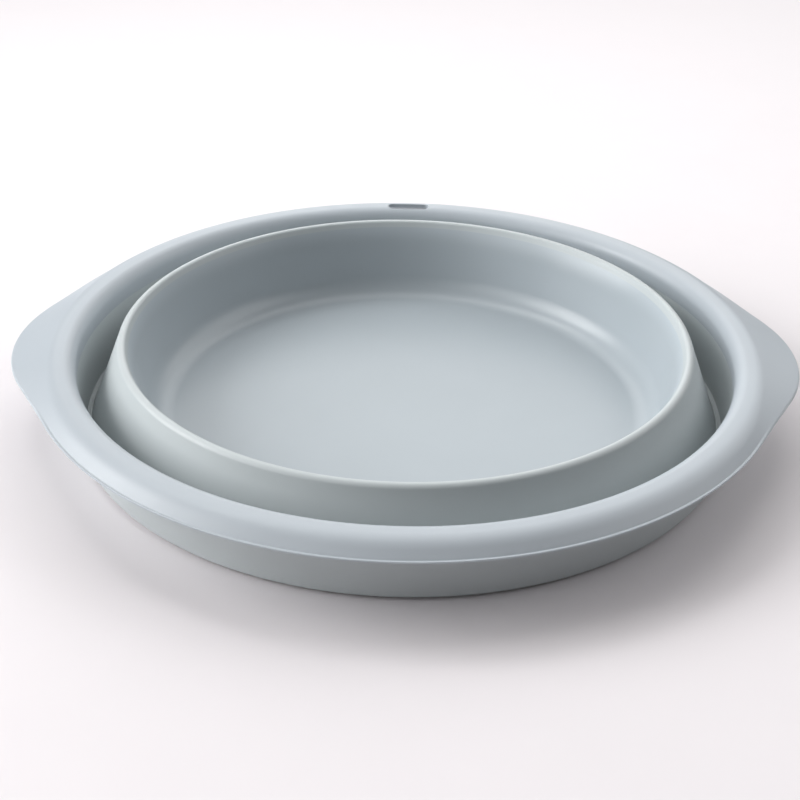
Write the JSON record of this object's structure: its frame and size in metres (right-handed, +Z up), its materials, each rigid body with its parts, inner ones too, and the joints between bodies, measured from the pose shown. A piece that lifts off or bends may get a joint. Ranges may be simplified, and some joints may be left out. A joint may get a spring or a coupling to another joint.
{
  "type": "foot spa basin",
  "caption": "Round foot-soak basin that folds flat: a rim with ear handles and a hanging slot on a soft folding wall round a flat-floored cup.",
  "frame": {"origin": "on the ground at the basin's axis, folded flat and standing on its pads", "axes": "+Z up along the basin's axis, X through both ear handles, +Y towards the hanging slot"},
  "size_m": [0.419, 0.3926, 0.0476],
  "materials": {
    "rim_plastic": "semi-gloss, pale blue-grey",
    "cup_plastic": "semi-gloss, pale blue-grey",
    "soft_wall": "matte soft elastomer, pale grey",
    "soft_lip": "satin soft elastomer, whitish grey",
    "pad_rubber": "matte rubber, mid grey"
  },
  "bodies": {
    "base": {"base_cup": "cup_plastic", "lip_ring": "soft_lip", "folding_band": "soft_wall", "foot_pad_front_left": "pad_rubber", "foot_pad_front_right": "pad_rubber", "foot_pad_back_left": "pad_rubber", "foot_pad_back_right": "pad_rubber"},
    "rim": {"rim_frame": "rim_plastic", "upper_wall": "soft_wall"}
  },
  "joints": [
    {"name": "rim_lift", "type": "slide", "parent": "base", "child": "rim", "axis": [0, 0, 1], "range_m": [0, 0.08], "deforming": ["folding_band"]}
  ]
}
